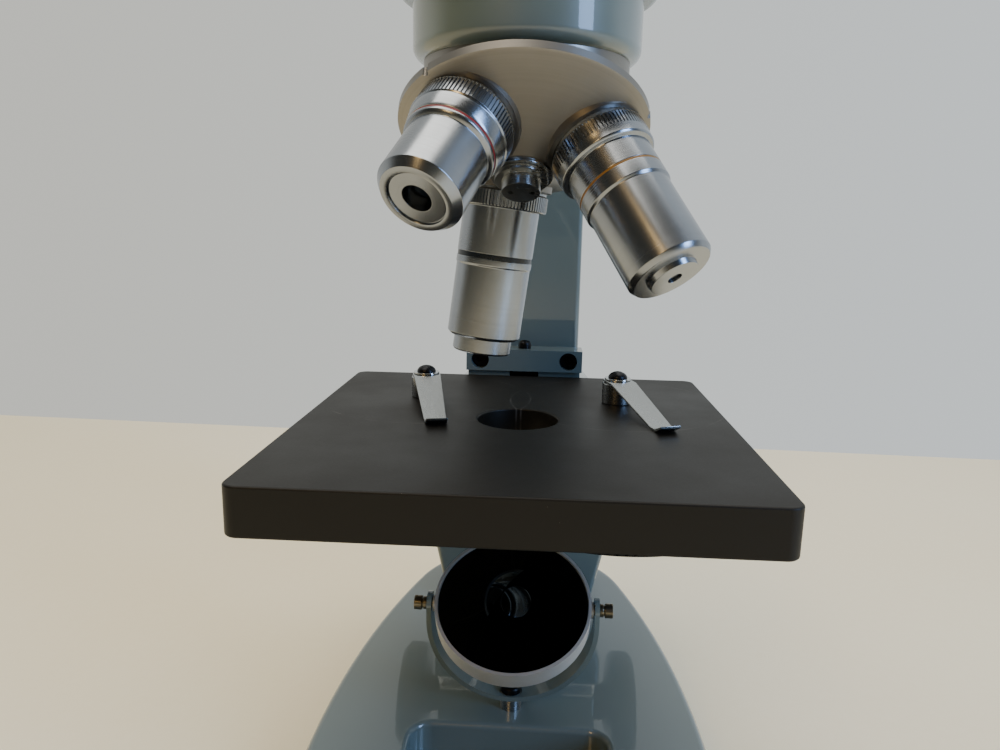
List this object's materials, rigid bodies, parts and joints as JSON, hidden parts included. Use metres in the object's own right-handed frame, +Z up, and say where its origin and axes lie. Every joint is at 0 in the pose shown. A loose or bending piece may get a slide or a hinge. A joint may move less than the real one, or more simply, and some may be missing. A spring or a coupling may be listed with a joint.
{
  "type": "compound microscope",
  "caption": "Monocular compound microscope with a square focusing stage, tilted revolving nosepiece with three objectives, inclined eyepiece and a swivelling mirror on an oval base.",
  "frame": {"origin": "on the table, on the optical axis, which is also the middle of the base", "axes": "+Z up along the optical axis, +Y from the open side towards the arm, +X to the right seen from the open side"},
  "size_m": [0.1224, 0.2299, 0.3463],
  "materials": {
    "base_enamel": "gloss enamel on cast metal",
    "arm_enamel": "blue-grey gloss enamel on cast aluminium",
    "stage_black": "matte black",
    "satin_alloy": "turned, satin",
    "nickel": "satin nickel plated",
    "steel": "ground",
    "black_steel": "blackened",
    "bronze": "turned",
    "rubber": "moulded",
    "cover_black": "matte black",
    "knob_plastic": "moulded, ribbed",
    "clip_steel": "bright spring steel",
    "tube_chrome": "polished",
    "mirror_glass": "silvered",
    "lens_glass": "coated",
    "ring_red": "enamel filled",
    "ring_yellow": "enamel filled",
    "ring_blue": "enamel filled",
    "eyepiece_black": "black anodised"
  },
  "bodies": {
    "stand": {"base_casting": "base_enamel", "base_cover": "cover_black", "rubber_feet": "rubber", "foot_screws": "steel", "arm_casting": "arm_enamel", "arm_bolts": "black_steel", "shaft_bushes": "bronze", "nosepiece_housing": "arm_enamel", "nosepiece_base": "satin_alloy", "turret_bolt": "steel", "turret_washer": "steel", "click_spring": "clip_steel", "click_screws": "steel", "head_ring": "eyepiece_black", "mirror_post": "steel", "fork_screw": "black_steel"},
    "lock": {"lock_screw": "knob_plastic"},
    "carriage": {"stage_bracket": "arm_enamel", "bracket_bolts": "black_steel", "dovetail_slide": "black_steel", "focus_rack": "steel", "stop_screw": "black_steel", "stage_plate": "stage_black", "stage_screws": "steel", "clip_posts": "nickel", "clip_washers": "clip_steel", "clip_screws": "black_steel", "diaphragm_pin": "steel"},
    "clip_left": {"clip_leaf_left": "clip_steel"},
    "clip_right": {"clip_leaf_right": "clip_steel"},
    "diaphragm": {"diaphragm_disc": "stage_black"},
    "focus_drive": {"pinion_shaft": "steel", "pinion_gear": "bronze", "focus_knob_left": "knob_plastic", "focus_knob_right": "knob_plastic", "knob_set_screws": "steel"},
    "fork": {"mirror_fork": "base_enamel", "pivot_screws": "bronze"},
    "mirror": {"mirror_frame": "satin_alloy", "plane_mirror": "mirror_glass", "concave_mirror": "mirror_glass"},
    "turret": {"turret_shell": "nickel", "objective_4x_barrel": "satin_alloy", "objective_4x_ring": "ring_red", "objective_4x_lens": "lens_glass", "objective_10x_barrel": "satin_alloy", "objective_10x_ring": "ring_yellow", "objective_10x_lens": "lens_glass", "objective_40x_barrel": "satin_alloy", "objective_40x_ring": "ring_blue"},
    "nose_40x": {"objective_40x_nose": "satin_alloy", "objective_40x_lens": "lens_glass"},
    "head": {"prism_housing": "arm_enamel", "housing_screws": "steel", "prism": "lens_glass", "eyepiece_tube": "tube_chrome"},
    "eyepiece": {"eyepiece_body": "eyepiece_black", "eye_lens": "lens_glass", "field_lens": "lens_glass"}
  },
  "joints": [
    {"name": "stage_focus", "type": "slide", "parent": "stand", "child": "carriage", "axis": [0, 0, 1], "range_m": [-0.015, 0.0165]},
    {"name": "pinion_spin", "type": "hinge", "parent": "stand", "child": "focus_drive", "pos_m": [0, 0.093, 0.086], "axis": [1, 0, 0], "range_deg": [-160, 160]},
    {"name": "turret_spin", "type": "hinge", "parent": "stand", "child": "turret", "pos_m": [0, 0, 0.2183], "axis": [0, -0.4478, -0.8942], "continuous": true},
    {"name": "nose_retract", "type": "slide", "parent": "turret", "child": "nose_40x", "axis": [0.1253, 0.016, 0.992], "range_m": [0, 0.002], "stiffness_N_per_m": 400, "springref_m": -0.003},
    {"name": "clip_left_swing", "type": "hinge", "parent": "carriage", "child": "clip_left", "pos_m": [-0.0298, 0.0243, 0.1152], "axis": [0, 0, 1], "range_deg": [-75, 8]},
    {"name": "clip_right_swing", "type": "hinge", "parent": "carriage", "child": "clip_right", "pos_m": [0.03, 0.0232, 0.1152], "axis": [0, 0, 1], "range_deg": [-8, 75]},
    {"name": "diaphragm_turn", "type": "hinge", "parent": "carriage", "child": "diaphragm", "pos_m": [0.025, -0.0186, 0.1012], "axis": [0, 0, 1], "continuous": true},
    {"name": "fork_swivel", "type": "hinge", "parent": "stand", "child": "fork", "pos_m": [0, 0, 0.0277], "axis": [0, 0, 1], "continuous": true},
    {"name": "mirror_tilt", "type": "hinge", "parent": "fork", "child": "mirror", "pos_m": [0, 0, 0.0571], "axis": [1, 0, 0], "continuous": true},
    {"name": "head_turn", "type": "hinge", "parent": "stand", "child": "head", "pos_m": [0, 0, 0.25], "axis": [0, 0, 1], "continuous": true},
    {"name": "eyepiece_pull", "type": "slide", "parent": "head", "child": "eyepiece", "axis": [0, 0.7071, 0.7071], "range_m": [0, 0.03]},
    {"name": "lock_screw_turn", "type": "hinge", "parent": "stand", "child": "lock", "pos_m": [0.03, 0, 0.254], "axis": [1, 0, 0], "continuous": true}
  ],
  "couplings": [
    {"joint": "pinion_spin", "follows": "stage_focus", "rad_per_m": -166.67}
  ]
}
